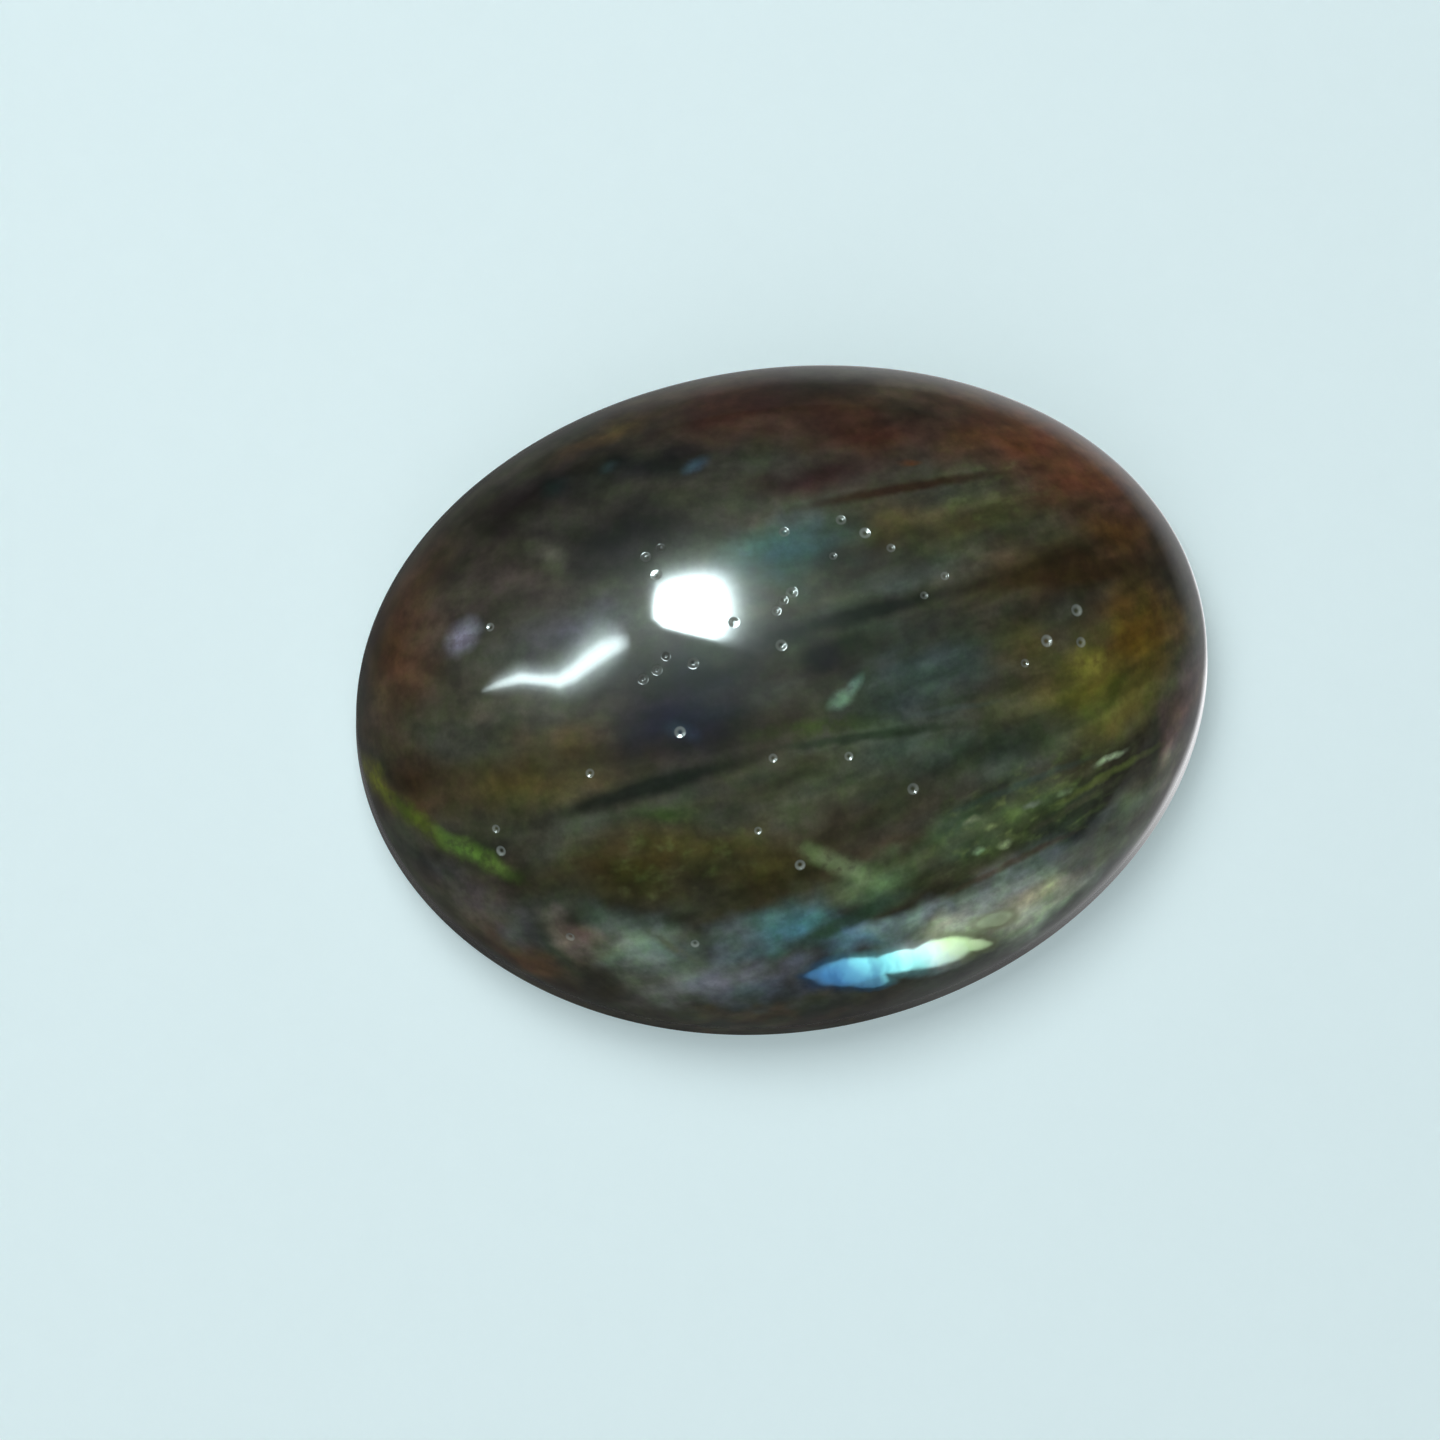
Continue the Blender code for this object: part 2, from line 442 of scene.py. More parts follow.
class Graph:
    """Short calls that add shader nodes and link them. Values may be numbers, colours or sockets."""

    def __init__(self, tree):
        self.tree = tree

    def feed(self, socket, value):
        if isinstance(value, bpy.types.NodeSocket):
            self.tree.links.new(value, socket)
        elif value is not None:
            socket.default_value = value

    def add(self, kind, *values, **settings):
        node = self.tree.nodes.new(kind)
        for name, value in settings.items():
            setattr(node, name, value)
        for socket, value in zip(node.inputs, values):
            self.feed(socket, value)
        return node

    def math(self, operation, *values):
        return self.add("ShaderNodeMath", *values, operation=operation).outputs[0]

    def vector(self, operation, *values):
        node = self.add("ShaderNodeVectorMath", *values, operation=operation)
        return node.outputs["Value" if operation == "LENGTH" else "Vector"]

    def scaled(self, vector, amount):
        node = self.add("ShaderNodeVectorMath", vector, operation="SCALE")
        self.feed(node.inputs["Scale"], amount)
        return node.outputs["Vector"]

    def smooth(self, value, start, end, low=0.0, high=1.0):
        node = self.add("ShaderNodeMapRange", value, start, end, low, high, interpolation_type="SMOOTHSTEP")
        return node.outputs[0]

    def linear(self, value, start, end):
        return self.add("ShaderNodeMapRange", value, start, end, 0.0, 1.0).outputs[0]

    def calmed(self, value, calm):
        """The value, brought nearer to one where it is calm."""
        past_one = self.math("SUBTRACT", value, 1.0)
        lively = self.math("SUBTRACT", 1.0, calm)
        return self.math("ADD", self.math("MULTIPLY", past_one, lively), 1.0)

    def product(self, first, second):
        return self.mix(1.0, first, second, "MULTIPLY")

    def noise(self, vector, scale, detail, roughness, colour=False):
        node = self.add("ShaderNodeTexNoise", vector, noise_dimensions="3D")
        self.feed(node.inputs["Scale"], scale)
        self.feed(node.inputs["Detail"], detail)
        self.feed(node.inputs["Roughness"], roughness)
        return node.outputs["Color" if colour else "Fac"]

    def mix(self, factor, low, high, blend="MIX"):
        node = self.tree.nodes.new("ShaderNodeMix")
        node.data_type = "RGBA"
        node.blend_type = blend
        self.feed(node.inputs["Factor"], factor)
        self.feed(node.inputs[6], colour(low))
        self.feed(node.inputs[7], colour(high))
        return node.outputs[2]

    def ramp(self, value, stops):
        node = self.add("ShaderNodeValToRGB", value)
        elements = node.color_ramp.elements
        while len(elements) < len(stops):
            elements.new(0.5)
        for element, (place, shade) in zip(elements, stops):
            element.position = place
            element.color = colour(shade)
        return node.outputs["Color"]

    def swapped(self, vector):
        """The vector with its first two parts changed round, for turning."""
        parts = self.add("ShaderNodeSeparateXYZ", vector).outputs
        return self.add("ShaderNodeCombineXYZ", parts[1], parts[0], 0.0).outputs[0]

    def placed(self, vector, swapped, place, turn, size):
        """The vector seen from a mark: its middle is the origin and its ends are one away."""
        across, along, deep = size
        cos, sin = math.cos(turn), math.sin(turn)
        start = (
            -(place[0] * cos + place[1] * sin) / across,
            (place[0] * sin - place[1] * cos) / along,
            -place[2] / deep,
        )
        crossed = self.vector("MULTIPLY_ADD", swapped, (sin / across, -sin / along, 0.0), start)
        return self.vector("MULTIPLY_ADD", vector, (cos / across, cos / along, 1 / deep), crossed)


def colour(value):
    if isinstance(value, tuple) and len(value) == 3:
        return (*value, 1.0)
    return value


# Broad zones of colour in the stone, and some painted glow, reflection and shade, each said where it stands:
# place in plan, length, width, turn in degrees, colour, strength.
ZONES = {
    "dark left shoulder": (-5.0, 5.4, 6.5, 2.4, 24, (0.016, 0.010, 0.010), 0.95),
    "dark blue shoulder": (-2.2, 5.3, 6.0, 1.3, 0, (0.010, 0.012, 0.014), 0.9),
    "olive top left edge": (-3.0, 6.6, 3.6, 0.8, 14, (0.12, 0.075, 0.022), 0.8),
    "teal blue spots": (-3.2, 5.5, 0.9, 0.7, -4, (0.010, 0.014, 0.012), 0.9),
    "faint blue spots": (-4.5, 5.5, 1.0, 0.8, 7, (0.011, 0.024, 0.021), 0.7),
    "grey left of the glint": (-3.3, 3.7, 5.9, 3.1, 6, (0.014, 0.014, 0.013), 0.9),
    "brown left end": (-8.9, 2.6, 6.3, 2.8, 69, (0.096, 0.044, 0.020), 0.9),
    "grey brown left": (-6.6, 3.1, 4.4, 2.9, 10, (0.062, 0.048, 0.039), 0.8),
    # Painted reflection: a pale grey haze above the bent glint, laid on as body colour.
    "painted reflection above the bent glint": (-4.8, 1.5, 4.0, 1.7, 9, (0.060, 0.058, 0.067), 0.9),
    "dark brown top": (0.4, 6.5, 8.0, 2.9, -5, (0.058, 0.018, 0.012), 0.9),
    "olive brown top": (3.2, 5.1, 5.5, 2.6, -6, (0.058, 0.017, 0.010), 0.9),
    "wine brown shoulder": (7.5, 4.1, 7.6, 4.0, -37, (0.20, 0.066, 0.030), 0.9),
    "teal band": (4.6, 2.6, 6.3, 1.5, 0, (0.12, 0.11, 0.048), 0.85),
    "teal glow": (0.6, 2.5, 3.8, 2.2, 10, (0.049, 0.13, 0.14), 0.95),
    "rust right top": (8.5, 2.0, 3.0, 1.4, -9, (0.14, 0.057, 0.010), 0.6),
    "dark right": (7.4, 1.0, 7.2, 1.9, 4, (0.050, 0.028, 0.010), 0.95),
    "amber right end": (8.5, -0.6, 3.6, 2.5, 33, (0.20, 0.12, 0.016), 0.95),
    "olive right end": (7.3, -2.0, 4.6, 2.5, 6, (0.15, 0.15, 0.028), 0.95),
    "grey right rim": (9.1, -2.8, 4.2, 1.1, 63, (0.33, 0.20, 0.19), 0.95),
    "grey teal middle": (2.7, -0.6, 6.7, 4.5, 3, (0.053, 0.070, 0.063), 0.95),
    "brown grey right middle": (5.7, -0.7, 2.9, 2.1, 3, (0.097, 0.068, 0.019), 0.7),
    "slate under the glint": (-2.1, 0.0, 5.4, 2.1, -3, (0.013, 0.015, 0.015), 0.9),
    "navy hollow": (-3.1, -1.1, 6.1, 3.0, -4, (0.010, 0.011, 0.023), 1.0),
    "grey green low middle": (1.9, -2.9, 9.0, 2.0, 4, (0.072, 0.10, 0.071), 0.9),
    "olive left": (-6.3, -1.6, 5.4, 2.5, 0, (0.10, 0.080, 0.027), 0.9),
    "dark brown left": (-9.4, -1.0, 2.8, 1.8, -14, (0.057, 0.028, 0.010), 0.8),
    "olive low": (-4.3, -4.1, 5.9, 2.0, -5, (0.061, 0.048, 0.010), 0.9),
    "amber low": (-1.5, -4.5, 3.5, 1.8, -22, (0.085, 0.083, 0.024), 0.85),
    "dark green low": (1.7, -5.2, 4.3, 1.5, 8, (0.048, 0.021, 0.010), 0.85),
    "green low right": (4.2, -4.7, 5.6, 1.8, 15, (0.10, 0.16, 0.083), 0.9),
    "grey low right": (6.4, -5.3, 4.3, 1.7, 27, (0.020, 0.019, 0.016), 0.9),
    # Painted light: the low right flank and its edge painted pale, as light shining through the translucent
    # edge.
    "painted glow on the low flank": (4.3, -6.1, 7.2, 1.3, 17, (0.38, 0.41, 0.39), 0.95),
    "painted glow at the low edge": (5.0, -6.4, 3.7, 1.0, 24, (0.66, 0.70, 0.50), 0.95),
    "painted glow on the low right flank": (7.8, -4.6, 3.8, 1.0, 42, (0.23, 0.29, 0.20), 0.9),
    "grey low": (-2.6, -7.0, 5.5, 1.2, -6, (0.21, 0.25, 0.34), 0.95),
    "sage low": (-4.5, -6.0, 3.4, 1.7, -44, (0.28, 0.36, 0.31), 0.9),
    "grey low left": (-8.1, -4.0, 4.1, 1.2, -49, (0.094, 0.081, 0.082), 0.9),
    "brown low left": (-7.3, -5.5, 4.2, 0.8, -41, (0.11, 0.052, 0.022), 0.85),
    "blue glow": (-1.1, -6.0, 2.8, 1.3, 6, (0.11, 0.30, 0.37), 0.9),
    "brown band over the teal": (1.6, 4.2, 4.8, 1.1, -4, (0.031, 0.011, 0.010), 0.9),
    "pale blue low": (-2.4, -6.2, 2.1, 1.1, 7, (0.16, 0.23, 0.28), 0.8),
    "pale brown low left": (-6.3, -5.2, 2.1, 0.8, -40, (0.31, 0.20, 0.18), 0.8),
    "green over the flash": (1.1, -5.4, 2.6, 1.1, 13, (0.15, 0.26, 0.15), 0.7),
    # Painted flash: a pale blue patch over the flashing sheets, laid on as body colour.
    "painted flash glow over the blue": (0.6, -6.6, 2.6, 0.9, 4, (0.19, 0.41, 0.59), 1.0),
    "green centre": (1.4, -0.1, 2.1, 1.7, 0, (0.010, 0.018, 0.011), 0.8),
    # Painted flash glow over the flashing sheets, laid on as body colour.
    "painted grey teal flash glow": (1.6, -6.3, 2.4, 0.6, 10, (0.48, 0.67, 0.74), 0.85),
    "painted pale green flash glow": (2.8, -6.7, 2.3, 0.9, 12, (0.66, 0.78, 0.58), 1.0),
    "green low left": (-3.6, -3.1, 1.6, 0.8, -2, (0.027, 0.062, 0.010), 0.7),
    "olive patch": (-5.1, 3.6, 1.1, 0.9, -15, (0.13, 0.14, 0.091), 0.7),
    # Painted shade along the low rim, tinted brown as a warm painted reflection.
    "painted shade along the low rim": (-1.4, -7.9, 10.1, 0.3, -7, (0.10, 0.062, 0.036), 0.7),
}

# Small marks in the same form, with frayed edges.
MARKS = {
    "violet patch": (-7.40, 2.15, 1.15, 0.80, 38, (0.29, 0.28, 0.39), 0.9),
    "light spot in the navy": (-2.75, -1.30, 0.95, 0.50, -31, (0.032, 0.054, 0.085), 0.8),
    "teal dash": (1.05, -1.25, 0.75, 0.50, 20, (0.21, 0.35, 0.25), 0.9),
    "upper teal dash": (1.45, -0.95, 0.65, 0.35, 49, (0.19, 0.33, 0.26), 0.85),
    "blue spot": (-1.25, 5.10, 0.80, 0.45, 21, (0.059, 0.10, 0.15), 0.85),
    "second blue spot": (-3.25, 5.55, 0.60, 0.40, 8, (0.027, 0.045, 0.049), 0.8),
    "orange spot": (3.80, 4.25, 0.60, 0.20, -9, (0.20, 0.063, 0.010), 0.7),
    "top of the green streak": (-10.15, -0.35, 2.00, 0.55, -66, (0.26, 0.26, 0.010), 0.8),
    "green streak": (-9.25, -1.75, 2.85, 0.50, -52, (0.11, 0.16, 0.010), 0.85),
    "low green streak": (-8.00, -2.95, 2.45, 0.50, -42, (0.16, 0.28, 0.050), 0.85),
    "bright green in the streak": (-8.45, -2.60, 1.50, 0.45, -47, (0.14, 0.26, 0.052), 0.8),
    "sage edge": (-3.90, -5.95, 1.85, 0.25, -39, (0.13, 0.15, 0.095), 0.9),
    "olive streak by the navy": (0.40, -1.80, 3.55, 0.55, -4, (0.056, 0.084, 0.020), 0.8),
    "gold thread": (0.40, -5.00, 2.55, 0.60, -32, (0.41, 0.59, 0.27), 0.45),
    # Painted flash glow: the pale green tip of the flash, as body colour.
    "painted pale green flash tip": (2.80, -6.70, 1.20, 0.60, 3, (0.72, 0.85, 0.60), 0.9),
    "bright green patch": (7.15, -1.25, 1.55, 0.95, -5, (0.27, 0.25, 0.045), 0.9),
    "white green dash": (7.20, -3.45, 1.00, 0.20, 20, (0.69, 0.86, 0.55), 0.95),
    "green fleck": (3.60, -4.45, 0.45, 0.20, 11, (0.33, 0.38, 0.22), 0.9),
    "second green fleck": (4.05, -4.65, 0.40, 0.20, 11, (0.39, 0.53, 0.20), 0.9),
    "third green fleck": (4.30, -5.05, 0.45, 0.20, 11, (0.45, 0.57, 0.29), 0.9),
    "fourth green fleck": (5.10, -4.30, 0.55, 0.20, 16, (0.30, 0.33, 0.28), 0.9),
    "fifth green fleck": (5.95, -4.10, 0.50, 0.20, 17, (0.28, 0.38, 0.20), 0.9),
    "sixth green fleck": (3.65, -5.15, 0.40, 0.20, 20, (0.36, 0.58, 0.30), 0.9),
}

# Thin dark sheets that cross the stone, in the same form.
SHEETS = {
    "dark sheet left": (-3.8, -2.4, 7.2, 0.65, 4, (0.011, 0.016, 0.010), 0.95),
    "dark sheet right": (1.6, -2.2, 5.4, 0.30, -2, (0.022, 0.038, 0.019), 0.8),
    "dark sheet middle": (2.2, 0.7, 6.0, 0.60, 5, (0.011, 0.014, 0.010), 0.95),
    "dark sheet far right": (7.4, 1.0, 6.6, 0.60, 3, (0.043, 0.027, 0.010), 0.95),
    "dark sheet top": (3.5, 3.6, 6.3, 0.35, 2, (0.037, 0.020, 0.010), 0.95),
    "dark sheet low": (0.3, -6.2, 4.0, 0.45, 13, (0.039, 0.081, 0.047), 0.9),
    "dark thread right": (7.1, -3.8, 3.9, 0.20, 22, (0.17, 0.21, 0.054), 0.6),
    "second dark thread right": (5.0, -3.8, 4.6, 0.20, 13, (0.060, 0.099, 0.075), 0.6),
    "third dark thread right": (4.4, -5.5, 4.1, 0.20, 17, (0.090, 0.034, 0.010), 0.5),
    "fourth dark thread right": (6.2, -4.4, 3.8, 0.20, 21, (0.089, 0.096, 0.050), 0.7),
    "dark thread middle": (3.1, -1.9, 4.0, 0.20, 1, (0.068, 0.093, 0.076), 0.6),
    "dark eye": (0.8, -0.2, 1.5, 1.10, -10, (0.010, 0.010, 0.010), 0.95),
}

# Sheets that flash: place in plan, length, width, turn in degrees, strength.
FLASHES = {
    "blue": (0.25, -7.25, 2.75, 0.85, -2, 1.0),
    "tip of the blue": (-0.45, -7.20, 1.45, 0.35, -6, 0.9),
    "foot of the blue": (0.65, -7.50, 1.35, 0.45, -3, 0.9),
    "between blue and white": (1.40, -7.20, 2.15, 0.70, 1, 1.0),
    "white": (2.35, -7.15, 2.70, 0.85, 5, 1.0),
    "tip of the white": (3.30, -7.10, 1.25, 0.35, 1, 0.95),
    "pale gold": (3.80, -6.65, 1.55, 0.45, 6, 0.75),
}

# The flash changes hue with X and this share of Y together, from the first of these sums to the second.
FLASH_SLANT = 1.3
FLASH_REACH = (-10.4, -5.4)
FLASH_HUES = (
    (0.00, (0.012, 0.050, 0.130)),
    (0.14, (0.030, 0.115, 0.240)),
    (0.28, (0.085, 0.250, 0.370)),
    (0.40, (0.200, 0.560, 0.600)),
    (0.52, (0.350, 0.740, 0.720)),
    (0.64, (0.640, 0.780, 0.740)),
    (0.74, (0.640, 0.740, 0.520)),
    (0.84, (0.500, 0.620, 0.320)),
    (1.00, (0.420, 0.480, 0.280)),
)
# Sheets next to each other lean to amber or to teal.
SHEET_TINTS = (
    (0.00, (1.10, 0.98, 0.74)),
    (0.45, (1.00, 1.00, 0.90)),
    (0.70, (0.95, 1.03, 0.96)),
    (1.00, (0.90, 1.06, 1.06)),
)
# Small blotches lean to violet or to green.
SPECKLE_TINTS = (
    (0.00, (1.05, 0.97, 1.09)),
    (0.50, (1.00, 1.00, 1.00)),
    (1.00, (0.94, 1.05, 0.89)),
)
# Where fine green sheets sparkle, and their colour.
SPARKLE_ZONES = (
    (5.0, -4.3, 6.4, 2.6, 18, 1.0),
    (-3.4, -4.0, 6.0, 2.2, 0, 0.35),
    (5.4, 3.2, 5.0, 2.0, 0, 0.3),
)
SPARKLE = (0.200, 0.270, 0.090)
# Where the sheets' light and dark, and their tints, are calmer.
CALM_ZONE = (-5.4, 3.6, 15.0, 9.0, 14, 0.8)


def zone_mask(graph, stone, space, zone, core):
    """Strength at the middle of an ellipsoid in the stone, falling to nothing at its edge."""
    x, y, length, width, turn, strength = zone
    deep = ZONE_DEPTH + ZONE_DEPTH_SHARE * (length + width)
    middle = (x, y, stone.crown_height(x, y))
    local = graph.placed(*space, middle, math.radians(turn), (length / 2, width / 2, deep))
    return graph.smooth(graph.vector("LENGTH", local), core, 1.0 + OUTER_SHARE * (1 - core), strength, 0.0)


def laid_on(graph, stone, space, zones, shade, core):
    for x, y, length, width, turn, tint, strength in zones.values():
        mask = zone_mask(graph, stone, space, (x, y, length, width, turn, strength), core)
        shade = graph.mix(mask, shade, tint)
    return shade


def sheet_space(graph, place):
    """Places counted along the sheets, across them and down, for noise that is drawn out along them."""
    parts = graph.add("ShaderNodeSeparateXYZ", place).outputs
    rise = graph.math("MULTIPLY_ADD", parts[1], SHEET_RISE_ACROSS, -SHEET_RISE)
    rise = graph.math("MULTIPLY_ADD", parts[0], -SHEET_RISE_ALONG / 2, rise)
    across = graph.math("MULTIPLY_ADD", parts[0], rise, parts[1])
    across = graph.math("MULTIPLY_ADD", parts[2], SHEET_LEAN, across)
    return graph.add("ShaderNodeCombineXYZ", parts[0], across, parts[2]).outputs[0]


def bent_space(graph, place, scale, amount):
    """The place moved about by slow noise, so that nothing in the stone is quite straight."""
    bend = graph.noise(place, scale, *BEND_DETAIL, colour=True)
    bend = graph.vector("SUBTRACT", bend, (0.5, 0.5, 0.5))
    return graph.vector("ADD", place, graph.scaled(bend, amount))


def both_ways(graph, vector):
    """The vector and its swapped twin, for placing ellipses in it."""
    return vector, graph.swapped(vector)


def sparkling(graph, stone, sheets, soft_space):
    """How much of the fine green sheets shows."""
    veins = graph.noise(graph.vector("MULTIPLY", sheets, VEIN_STRETCH), *VEIN_NOISE)
    sparkle = 0.0
    for zone in SPARKLE_ZONES:
        sparkle = graph.math("MAXIMUM", sparkle, zone_mask(graph, stone, soft_space, zone, SPARKLE_CORE))
    return graph.math("MULTIPLY", sparkle, graph.smooth(veins, *VEIN_STRENGTH))


def flash_and_hue(graph, stone, torn_space):
    """Where the stone flashes, and in which hue."""
    streaks = graph.noise(graph.vector("MULTIPLY", torn_space[0], STREAK_STRETCH), *STREAK_NOISE)
    parts = graph.add("ShaderNodeSeparateXYZ", torn_space[0]).outputs
    along = graph.math("MULTIPLY_ADD", parts[1], FLASH_SLANT, parts[0])
    along = graph.math("ADD", along, graph.smooth(streaks, *STREAK_SHIFT))
    hue = graph.ramp(graph.linear(along, *FLASH_REACH), FLASH_HUES)
    hue = graph.product(hue, graph.smooth(streaks, *STREAK_LIGHT))
    flash = 0.0
    for zone in FLASHES.values():
        flash = graph.math("MAXIMUM", flash, zone_mask(graph, stone, torn_space, zone, FLASH_CORE))
    return flash, hue


def flash_normal(graph, along, flash):
    """In a flash the light comes back from sheets under the surface, bent as it goes in and out."""
    true_normal = graph.add("ShaderNodeNewGeometry").outputs["Normal"]
    facing_x, facing_y, facing_z = (STONE_IOR * part for part in LAMELLA_NORMAL)
    facing_x = graph.math("MULTIPLY_ADD", along, STONE_IOR * LAMELLA_FAN, facing_x)
    sheet_normal = graph.add("ShaderNodeCombineXYZ", facing_x, facing_y, facing_z).outputs[0]
    sheet_normal = graph.vector("SUBTRACT", sheet_normal, graph.scaled(true_normal, STONE_IOR - 1))
    sheet_normal = graph.scaled(graph.vector("NORMALIZE", sheet_normal), flash)
    own_normal = graph.scaled(true_normal, graph.math("SUBTRACT", 1.0, flash))
    return graph.vector("NORMALIZE", graph.vector("ADD", own_normal, sheet_normal))


def labradorite(stone):
    material = bpy.data.materials.new("labradorite_polished")
    material.use_nodes = True
    graph = Graph(material.node_tree)
    shader = material.node_tree.nodes["Principled BSDF"]

    place = graph.add("ShaderNodeTexCoord").outputs["Object"]
    place = graph.scaled(place, 1 / MM)
    bent = bent_space(graph, place, *SLOW_BEND)
    soft_space = both_ways(graph, bent_space(graph, place, *SOFT_BEND))
    frayed_space = both_ways(graph, bent_space(graph, place, *FRAYED_BEND))
    torn_space = both_ways(graph, bent_space(graph, place, *TORN_BEND))

    sheets = sheet_space(graph, bent)
    long_sheets = graph.vector("MULTIPLY", sheets, LONG_STRETCH)
    short_sheets = graph.vector("MULTIPLY", sheets, SHORT_STRETCH)
    broad = graph.noise(long_sheets, *BROAD_NOISE)
    fine = graph.noise(long_sheets, *FINE_NOISE)
    cloud = graph.noise(short_sheets, *CLOUD_NOISE)
    green = graph.noise(short_sheets, *GREEN_NOISE)
    mottle = graph.noise(bent, *MOTTLE_NOISE)
    grain = graph.noise(place, *GRAIN_NOISE)
    patchy = graph.noise(place, *PATCHY_NOISE)
    speckle = graph.noise(place, *SPECKLE_NOISE)

    # Zones of colour, some of them painted glow, reflection and shade, with light, dark and tints drawn out
    # along the sheets.
    shade = laid_on(graph, stone, soft_space, ZONES, BODY_TINT, ZONE_CORE)
    calm = zone_mask(graph, stone, soft_space, CALM_ZONE, CALM_CORE)
    light = graph.math("MULTIPLY", graph.smooth(broad, *BROAD_LIGHT), graph.smooth(fine, *FINE_LIGHT))
    light = graph.calmed(light, calm)
    light = graph.math("MULTIPLY", light, graph.smooth(cloud, *CLOUD_LIGHT))
    shade = graph.product(shade, light)
    tint = graph.ramp(graph.smooth(green, *GREEN_SPREAD), SHEET_TINTS)
    tint = graph.mix(calm, tint, (1.0, 1.0, 1.0))
    shade = graph.product(shade, tint)
    shade = graph.mix(sparkling(graph, stone, sheets, soft_space), shade, SPARKLE)

    # Dark sheets, small marks, and a fine unevenness over all of it.
    shade = laid_on(graph, stone, torn_space, SHEETS, shade, SHEET_CORE)
    marked = laid_on(graph, stone, frayed_space, MARKS, shade, ZONE_CORE)
    shade = graph.mix(graph.smooth(patchy, *MARK_STRENGTH), shade, marked)
    light = graph.math("MULTIPLY", graph.smooth(mottle, *MOTTLE_LIGHT), graph.smooth(grain, *GRAIN_LIGHT))
    shade = graph.product(shade, light)
    shade = graph.product(shade, graph.ramp(graph.smooth(speckle, *SPECKLE_SPREAD), SPECKLE_TINTS))

    along = graph.add("ShaderNodeSeparateXYZ", place).outputs[0]
    # The flash's hue is also painted into the base colour: a painted reflection beside the metallic one from
    # the sheets.
    flash, hue = flash_and_hue(graph, stone, torn_space)
    shade = graph.mix(flash, shade, hue)
    # The pits' pale rings go into the base colour: pale residue and a painted highlight.
    pit = graph.add("ShaderNodeAttribute", attribute_name="pit").outputs["Fac"]
    shade = graph.mix(graph.math("MULTIPLY", pit, PIT_RESIDUE_AND_HIGHLIGHT_SHARE), shade, PIT_RESIDUE_AND_HIGHLIGHT_TINT)
    normal = flash_normal(graph, along, flash)

    graph.feed(shader.inputs["Base Color"], shade)
    graph.feed(shader.inputs["Metallic"], graph.math("MULTIPLY", flash, FLASH_METALLIC))
    graph.feed(shader.inputs["Roughness"], graph.smooth(flash, 0.0, 1.0, *ROUGHNESS))
    graph.feed(shader.inputs["Normal"], normal)
    shader.inputs["IOR"].default_value = STONE_IOR
    shader.inputs["Specular IOR Level"].default_value = BODY_SPECULAR
    shader.inputs["Coat Weight"].default_value = 1.0
    shader.inputs["Coat Roughness"].default_value = COAT_ROUGHNESS
    shader.inputs["Coat IOR"].default_value = STONE_IOR
    return material


def look_frame(azimuth, tilt):
    """Right, up and back directions of a camera that looks down, tilted from straight down towards -Y."""
    right = Vector((math.cos(azimuth), math.sin(azimuth), 0))
    ahead = Vector((-math.sin(azimuth), math.cos(azimuth), 0))
    back = -ahead * math.sin(tilt) + Vector((0, 0, math.cos(tilt)))
    return right, back.cross(right), back


def add_camera():
    right, up, back = look_frame(VIEW_AZIMUTH, VIEW_TILT)
    target = Vector((0, 0, AIM_HEIGHT)) - right * STONE_IN_FRAME[0] - up * STONE_IN_FRAME[1]
    place = target + back * VIEW_DISTANCE
    camera = bpy.data.cameras.new("camera")
    camera.sensor_width = SENSOR
    camera.lens = SENSOR * VIEW_DISTANCE / FRAME_SPAN
    camera.clip_start = CLIP_START * MM
    thing = bpy.data.objects.new("camera", camera)
    thing.matrix_world = Matrix((
        (right.x, up.x, back.x, place.x * MM),
        (right.y, up.y, back.y, place.y * MM),
        (right.z, up.z, back.z, place.z * MM),
        (0, 0, 0, 1),
    ))
    bpy.context.scene.collection.objects.link(thing)
    bpy.context.scene.camera = thing
    return place


def glint_direction(stone, eye, x, y):
    """The direction that a glint at this place on the crown comes from, for an eye at this place."""
    normal = stone.crown_normal(x, y)
    to_eye = (eye - stone.on_crown(x, y)).normalized()
    return (2 * normal.dot(to_eye) * normal - to_eye).normalized()


def glow_material(name, tint, strength, layer=None):
    """A material that only shines, as brightly as the mesh's layer says where there is one."""
    material = bpy.data.materials.new(name)
    material.use_nodes = True
    graph = Graph(material.node_tree)
    material.node_tree.nodes.remove(material.node_tree.nodes["Principled BSDF"])
    if layer:
        glow = graph.add("ShaderNodeAttribute", attribute_name=layer).outputs["Fac"]
        strength = graph.math("MULTIPLY", glow, strength)
    light = graph.add("ShaderNodeEmission", (*tint, 1.0), strength).outputs[0]
    graph.feed(material.node_tree.nodes["Material Output"].inputs["Surface"], light)
    return material


def lit_panel(name, grid, closed, tint, strength):
    """A panel of rows of places and brightnesses, which shows only in the polish."""
    shape = bmesh.new()
    glow_layer = shape.verts.layers.float.new("glow")
    lines = []
    for row in grid:
        line = []
        for place, glow in row:
            vert = shape.verts.new(place * MM)
            vert[glow_layer] = glow
            line.append(vert)
        lines.append(line)
    for upper, lower in zip(lines, lines[1:]):
        for i in range(len(upper) if closed else len(upper) - 1):
            j = (i + 1) % len(upper)
            shape.faces.new((upper[i], lower[i], lower[j], upper[j]))
    mesh = bpy.data.meshes.new(name)
    shape.to_mesh(mesh)
    shape.free()
    mesh.materials.append(glow_material(name, tint, strength, "glow"))
    panel = bpy.data.objects.new(name, mesh)
    panel.visible_camera = False
    panel.visible_diffuse = False
    panel.visible_shadow = False
    bpy.context.scene.collection.objects.link(panel)


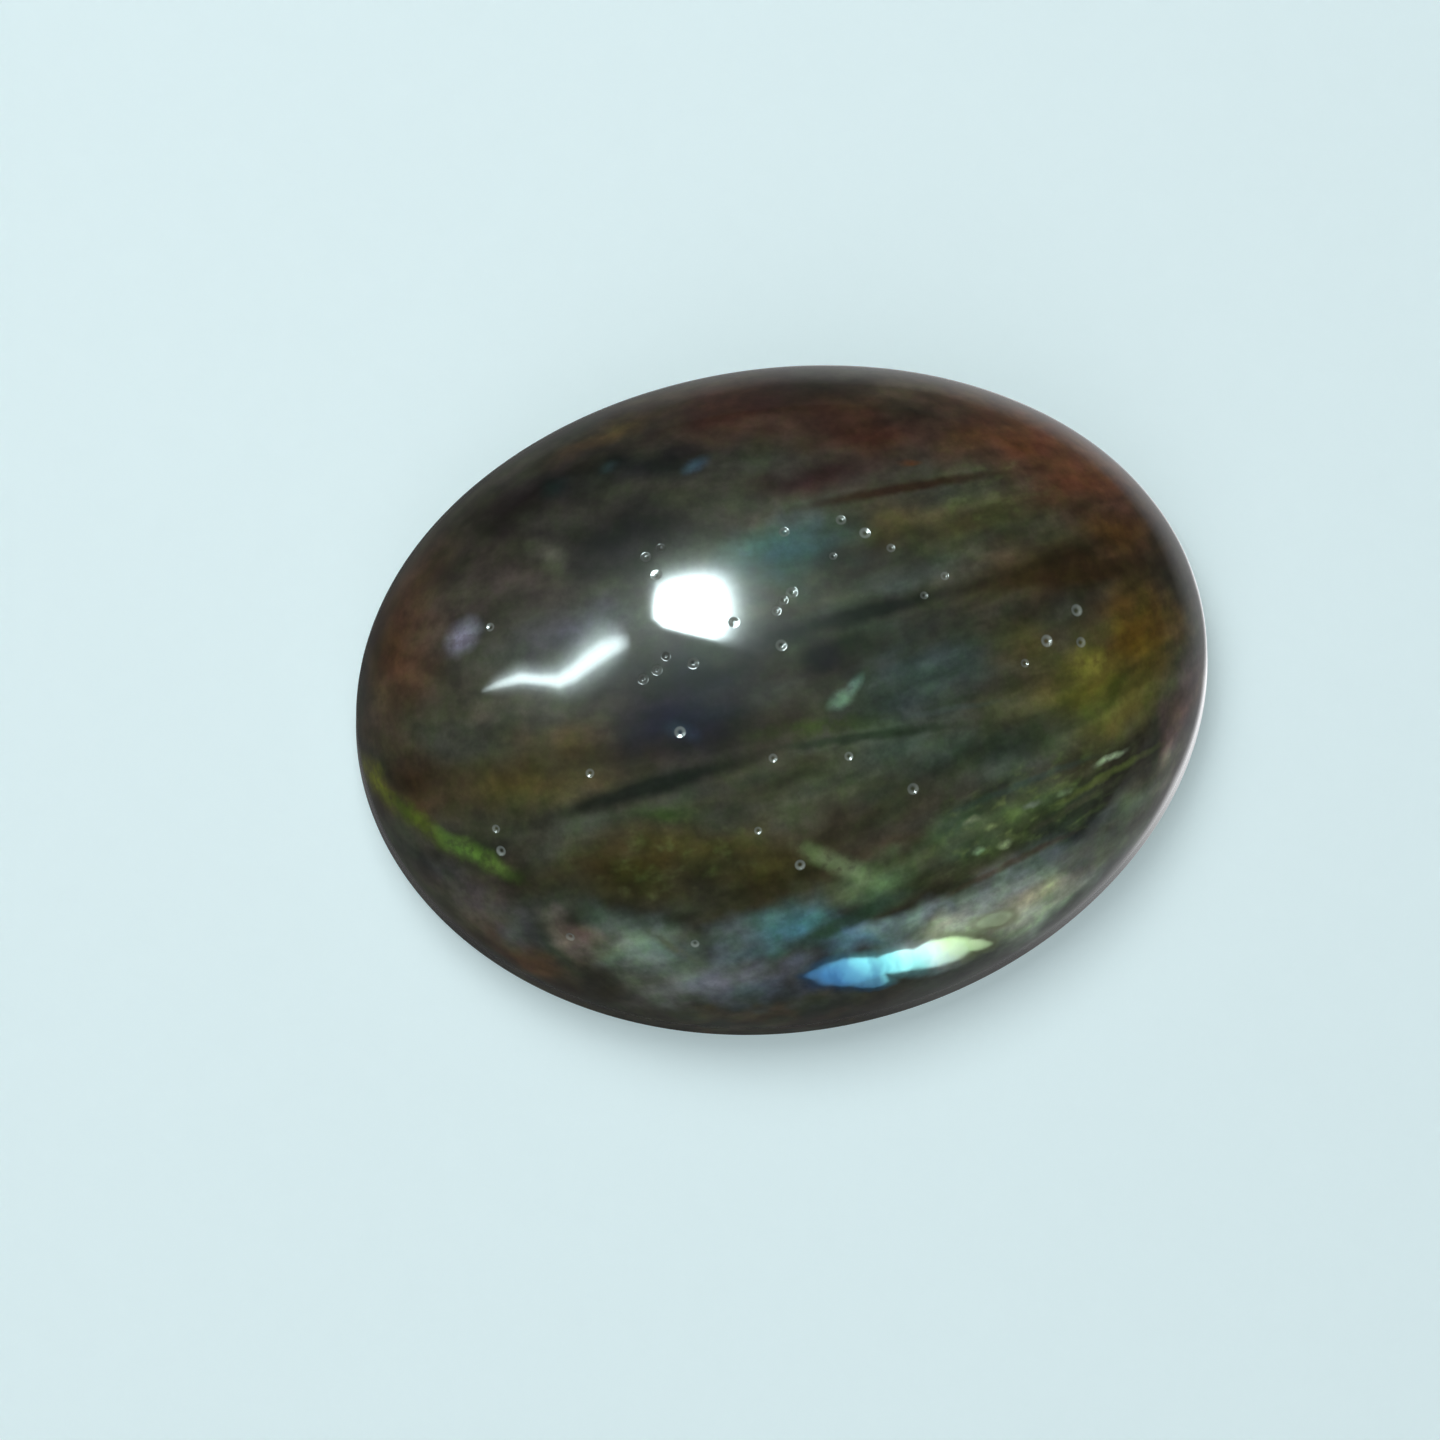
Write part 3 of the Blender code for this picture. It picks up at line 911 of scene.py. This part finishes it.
def mirror_panel(name, stone, eye, rows, closed, strength):
    """A lit panel that shows in the crown as the given rows of places in plan, each with its brightness."""
    grid = []
    for row in rows:
        line = []
        for x, y, glow in row:
            away = glint_direction(stone, eye, x, y) * LAMP_DISTANCE
            line.append((stone.on_crown(x, y) + away, glow))
        grid.append(line)
    lit_panel(name, grid, closed, LAMP_TINT, strength)


def rounded(corners):
    """The outline with each corner cut off."""
    points = []
    for i, corner in enumerate(corners):
        before = Vector(corners[i - 1])
        after = Vector(corners[(i + 1) % len(corners)])
        points.append(Vector(corner).lerp(before, CORNER_CUT))
        points.append(Vector(corner).lerp(after, CORNER_CUT))
    return points


def add_glints(stone, eye):
    middle = Vector(GLINT_MIDDLE)
    rings = []
    for grow, glow in GLINT_STEPS:
        drift = Vector(GLINT_DRIFT) * max(0.0, grow - 1)
        places = [middle + drift + (corner - middle) * grow for corner in rounded(GLINT_OUTLINE)]
        rings.append([(place.x, place.y, glow) for place in places])
    mirror_panel("square_lamp", stone, eye, rings, True, GLINT_GLOW)
    rows = []
    for step, share in SWOOSH_STEPS:
        rows.append([(x, y + step * half, glow * share) for x, y, half, glow in SWOOSH])
    mirror_panel("bent_lamp", stone, eye, rows, False, SWOOSH_GLOW)


def add_card(stone):
    """The pale ring on the floor, whose brightness changes round it."""
    rings = []
    for out, band in CARD_RINGS:
        ring = []
        for turn, *glows in CARD_GLOW:
            angle = math.radians(turn)
            x = (stone.length / 2 + out) * math.cos(angle)
            y = (stone.width / 2 + out) * math.sin(angle)
            ring.append((Vector((x, y, CARD_LEVEL)), glows[band]))
        rings.append(ring)
    lit_panel("pale_card", rings, True, CARD_TINT, 1.0)


def add_soft_light(name, place, size, power, tint):
    """A broad soft light that doesn't show in the polish. It lights the body of the stone and the floor."""
    light = bpy.data.lights.new(name, "AREA")
    light.size = size * MM
    light.energy = power
    light.color = tint
    thing = bpy.data.objects.new(name, light)
    thing.location = Vector(place) * MM
    thing.rotation_euler = Vector(place).to_track_quat("Z", "Y").to_euler()
    thing.visible_camera = False
    thing.visible_glossy = False
    bpy.context.scene.collection.objects.link(thing)


def add_floor():
    material = bpy.data.materials.new("pale_floor")
    material.use_nodes = True
    shader = material.node_tree.nodes["Principled BSDF"]
    shader.inputs["Base Color"].default_value = FLOOR_TINT
    shader.inputs["Roughness"].default_value = FLOOR_ROUGHNESS
    shader.inputs["Emission Color"].default_value = FLOOR_GLOW
    shader.inputs["Emission Strength"].default_value = 1.0
    bpy.ops.mesh.primitive_plane_add(size=FLOOR_SIZE * MM, location=(0, 0, FLOOR_LEVEL * MM))
    floor = bpy.context.object
    floor.name = "floor"
    floor.data.materials.append(material)
    floor.visible_glossy = False


def add_backdrop():
    """A pale round backdrop that only the camera sees."""
    bpy.ops.mesh.primitive_uv_sphere_add(radius=BACKDROP_RADIUS * MM, segments=48, ring_count=24)
    backdrop = bpy.context.object
    backdrop.name = "backdrop"
    backdrop.data.materials.append(glow_material("backdrop", BACKDROP_TINT, 1.0))
    backdrop.visible_diffuse = False
    backdrop.visible_glossy = False
    backdrop.visible_shadow = False


def add_world():
    world = bpy.data.worlds.new("dim studio")
    world.use_nodes = True
    background = world.node_tree.nodes["Background"]
    background.inputs["Color"].default_value = WORLD_TINT
    background.inputs["Strength"].default_value = WORLD_STRENGTH
    bpy.context.scene.world = world


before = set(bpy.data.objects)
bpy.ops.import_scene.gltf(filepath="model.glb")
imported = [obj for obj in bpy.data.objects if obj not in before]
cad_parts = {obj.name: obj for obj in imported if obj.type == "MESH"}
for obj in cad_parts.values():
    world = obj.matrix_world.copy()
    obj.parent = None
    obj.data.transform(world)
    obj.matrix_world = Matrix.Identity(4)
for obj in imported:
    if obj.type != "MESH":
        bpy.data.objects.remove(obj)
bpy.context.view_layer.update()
low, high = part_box(NODE)
stone = Stone(low, high)

piece = bpy.data.objects.new("labradorite_stone", stone_mesh(stone))
bpy.context.scene.collection.objects.link(piece)
piece.data.materials.append(labradorite(stone))
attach(piece, "root")
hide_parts(NODE)

eye = add_camera()
add_glints(stone, eye)
add_card(stone)
for soft_light in SOFT_LIGHTS:
    add_soft_light(*soft_light)
add_floor()
add_backdrop()
add_world()
bpy.context.scene.view_settings.view_transform = "Standard"
